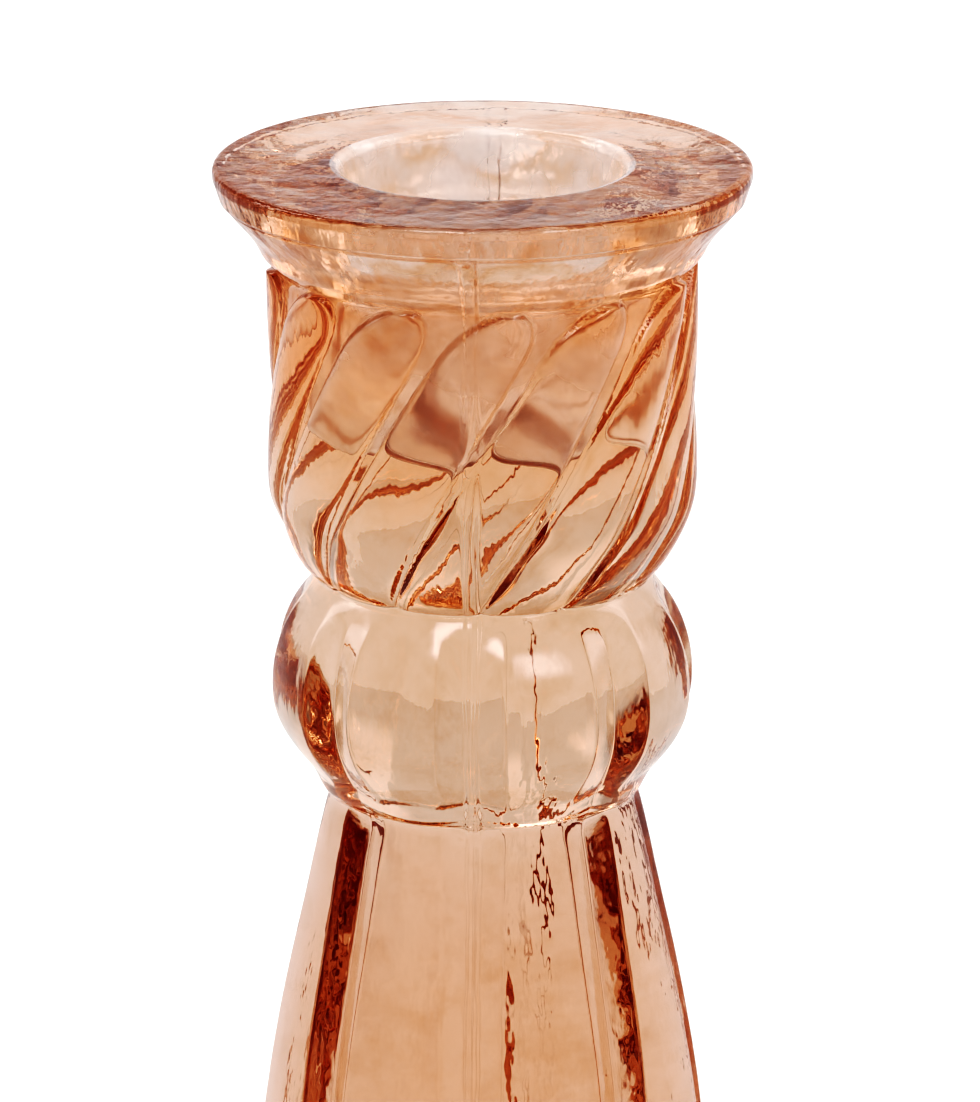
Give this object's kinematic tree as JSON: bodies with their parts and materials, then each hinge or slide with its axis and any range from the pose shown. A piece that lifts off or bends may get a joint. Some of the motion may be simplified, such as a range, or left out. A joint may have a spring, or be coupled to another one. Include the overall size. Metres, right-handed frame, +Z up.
{
  "type": "candlestick",
  "caption": "Pressed-glass taper candlestick with a flat flared rim, a swirled socket cup, a melon knop, a panelled solid stem and a round foot.",
  "frame": {"origin": "centre of the plane that the foot stands on", "axes": "+Z up along the candlestick's axis; -Y is the front mould seam"},
  "size_m": [0.074, 0.074, 0.17],
  "materials": {
    "peach_glass": "fire-polished transparent peach glass, amber to red-brown where it is thick"
  },
  "bodies": {
    "root": {"rim": "peach_glass", "flared_neck": "peach_glass", "swirled_cup": "peach_glass", "melon_knop": "peach_glass", "panelled_stem": "peach_glass", "lower_collar": "peach_glass", "foot": "peach_glass"}
  },
  "joints": []
}
